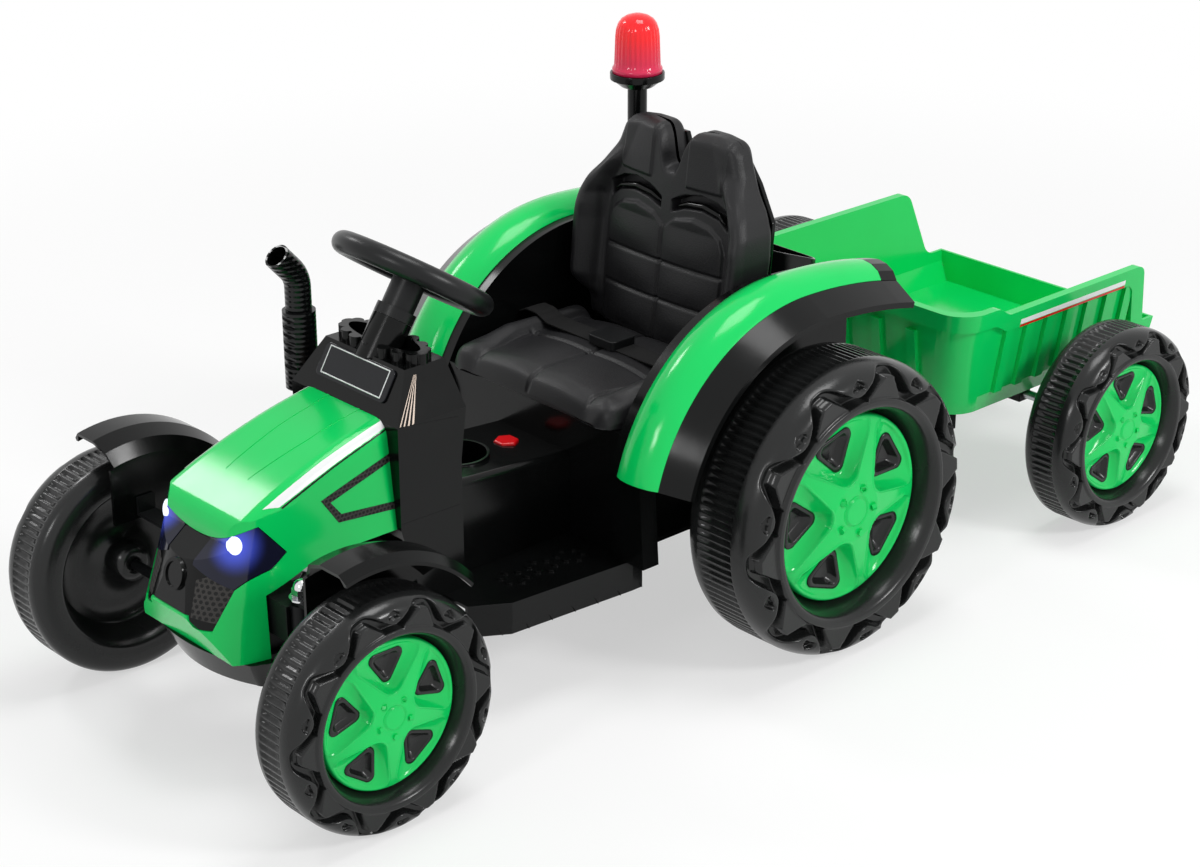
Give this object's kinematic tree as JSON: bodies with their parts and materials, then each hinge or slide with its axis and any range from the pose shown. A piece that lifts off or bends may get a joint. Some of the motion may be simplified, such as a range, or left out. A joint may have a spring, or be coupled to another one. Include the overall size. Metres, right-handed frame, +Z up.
{
  "type": "ride-on tractor toy with trailer",
  "caption": "Battery ride-on toy tractor with a tapered hood, big lugged wheels, padded seat, beacon and exhaust stack, towing a two-wheeled tub trailer on a pinned drawbar.",
  "frame": {"origin": "on the floor under the middle of the tractor and trailer together", "axes": "+Z up, +X to the tractor's left, +Y towards the trailer, so the tractor faces -Y"},
  "size_m": [0.658, 1.497, 0.667],
  "materials": {
    "green_plastic": "glossy moulded green",
    "black_gloss_plastic": "glossy moulded black",
    "black_matte_plastic": "fine grained black",
    "wheel_plastic": "satin blow-moulded black",
    "seat_leather": "fine grained black with seams",
    "belt_webbing": "woven black",
    "black_painted_steel": "satin black paint",
    "bare_steel": "zinc plated",
    "plated_nut": "polished plating",
    "lamp_lens": "dark blue clear",
    "beacon_lens": "red translucent",
    "panel_plastic": "smoky grey with a pale border",
    "red_plastic": "glossy red",
    "inner_plastic": "plain dark grey"
  },
  "bodies": {
    "chassis": {"chassis_frame": "black_painted_steel", "front_axle_beam": "black_painted_steel", "floor_pan": "black_gloss_plastic", "centre_console": "black_gloss_plastic", "seat_box": "black_gloss_plastic", "front_bumper": "black_gloss_plastic", "hood": "green_plastic", "grille": "black_gloss_plastic", "headlight_lenses": "lamp_lens", "dash_cowl": "black_gloss_plastic", "dash_panel": "panel_plastic", "exhaust_stack": "black_gloss_plastic", "rear_fender_left": "black_gloss_plastic", "rear_fender_right": "black_gloss_plastic", "fender_cover_left": "green_plastic", "fender_cover_right": "green_plastic", "seat_cushion": "seat_leather", "seat_back_pad": "seat_leather", "seat_back_shell": "black_matte_plastic", "lap_belt": "belt_webbing", "belt_buckle": "black_matte_plastic", "rear_basket": "black_matte_plastic", "beacon_mast": "black_matte_plastic", "beacon_base": "black_gloss_plastic", "beacon_lens": "beacon_lens", "battery": "inner_plastic", "control_box": "inner_plastic", "drive_motors": "inner_plastic", "gearbox_left": "inner_plastic", "gearbox_right": "inner_plastic", "rear_axle": "bare_steel", "tow_bracket": "black_painted_steel"},
    "steering": {"steering_wheel": "black_matte_plastic", "steering_shaft": "bare_steel"},
    "horn": {"horn_button": "black_matte_plastic"},
    "tie_rod": {"tie_rod": "black_painted_steel"},
    "trailer": {"trailer_tub": "green_plastic", "trailer_frame": "black_painted_steel", "trailer_axle": "bare_steel"},
    "hitch_pin": {"hitch_pin": "bare_steel"},
    "start_button": {"start_button": "red_plastic"},
    "pedal": {"accelerator_pedal": "black_matte_plastic"},
    "knuckle_left": {"knuckle_left": "black_painted_steel", "kingpin_nut_left": "plated_nut", "front_mudguard_left": "black_gloss_plastic"},
    "front_wheel_left": {"front_tyre_left": "wheel_plastic", "front_cap_left": "green_plastic"},
    "rear_wheel_left": {"rear_tyre_left": "wheel_plastic", "rear_cap_left": "green_plastic"},
    "trailer_wheel_left": {"trailer_tyre_left": "wheel_plastic", "trailer_cap_left": "green_plastic"},
    "knuckle_right": {"knuckle_right": "black_painted_steel", "kingpin_nut_right": "plated_nut", "front_mudguard_right": "black_gloss_plastic"},
    "front_wheel_right": {"front_tyre_right": "wheel_plastic", "front_cap_right": "green_plastic"},
    "rear_wheel_right": {"rear_tyre_right": "wheel_plastic", "rear_cap_right": "green_plastic"},
    "trailer_wheel_right": {"trailer_tyre_right": "wheel_plastic", "trailer_cap_right": "green_plastic"}
  },
  "joints": [
    {"name": "knuckle_left_steer", "type": "hinge", "parent": "chassis", "child": "knuckle_left", "pos_m": [0.118, -0.6165, 0.18], "axis": [0, 0, 1], "range_deg": [-25, 25]},
    {"name": "knuckle_right_steer", "type": "hinge", "parent": "chassis", "child": "knuckle_right", "pos_m": [-0.118, -0.6165, 0.18], "axis": [0, 0, 1], "range_deg": [-25, 25]},
    {"name": "steering_turn", "type": "hinge", "parent": "chassis", "child": "steering", "pos_m": [0, -0.3655, 0.478], "axis": [0, 0.5563, 0.831], "range_deg": [-30, 30]},
    {"name": "tie_rod_slide", "type": "slide", "parent": "chassis", "child": "tie_rod", "axis": [1, 0, 0], "range_m": [-0.01964, 0.01964]},
    {"name": "horn_press", "type": "slide", "parent": "steering", "child": "horn", "axis": [0, 0.5563, 0.831], "range_m": [-0.002, 0], "stiffness_N_per_m": 400, "springref_m": 0.003},
    {"name": "start_press", "type": "slide", "parent": "chassis", "child": "start_button", "axis": [0, 0, 1], "range_m": [-0.003, 0], "stiffness_N_per_m": 400, "springref_m": 0.003},
    {"name": "pedal_press", "type": "hinge", "parent": "chassis", "child": "pedal", "pos_m": [-0.118, -0.3165, 0.143], "axis": [1, 0, 0], "range_deg": [0, 10], "stiffness_Nm_per_rad": 0.5, "springref_deg": -14.32},
    {"name": "trailer_yaw", "type": "hinge", "parent": "chassis", "child": "trailer", "pos_m": [0, 0.1835, 0.136], "axis": [0, 0, 1], "range_deg": [-30, 30]},
    {"name": "hitch_pin_lift", "type": "slide", "parent": "chassis", "child": "hitch_pin", "axis": [0, 0, 1], "range_m": [0, 0.06]},
    {"name": "front_wheel_left_spin", "type": "hinge", "parent": "knuckle_left", "child": "front_wheel_left", "pos_m": [0.24, -0.6165, 0.132], "axis": [1, 0, 0], "continuous": true},
    {"name": "rear_wheel_left_spin", "type": "hinge", "parent": "chassis", "child": "rear_wheel_left", "pos_m": [0.272, 0.0175, 0.179], "axis": [1, 0, 0], "continuous": true},
    {"name": "trailer_wheel_left_spin", "type": "hinge", "parent": "trailer", "child": "trailer_wheel_left", "pos_m": [0.287, 0.5305, 0.132], "axis": [1, 0, 0], "continuous": true},
    {"name": "front_wheel_right_spin", "type": "hinge", "parent": "knuckle_right", "child": "front_wheel_right", "pos_m": [-0.24, -0.6165, 0.132], "axis": [1, 0, 0], "continuous": true},
    {"name": "rear_wheel_right_spin", "type": "hinge", "parent": "chassis", "child": "rear_wheel_right", "pos_m": [-0.272, 0.0175, 0.179], "axis": [1, 0, 0], "continuous": true},
    {"name": "trailer_wheel_right_spin", "type": "hinge", "parent": "trailer", "child": "trailer_wheel_right", "pos_m": [-0.287, 0.5305, 0.132], "axis": [1, 0, 0], "continuous": true}
  ],
  "couplings": [
    {"joint": "knuckle_right_steer", "follows": "knuckle_left_steer", "ratio": 1},
    {"joint": "steering_turn", "follows": "knuckle_left_steer", "ratio": 1.2},
    {"joint": "tie_rod_slide", "follows": "knuckle_left_steer", "m_per_rad": -0.045}
  ]
}
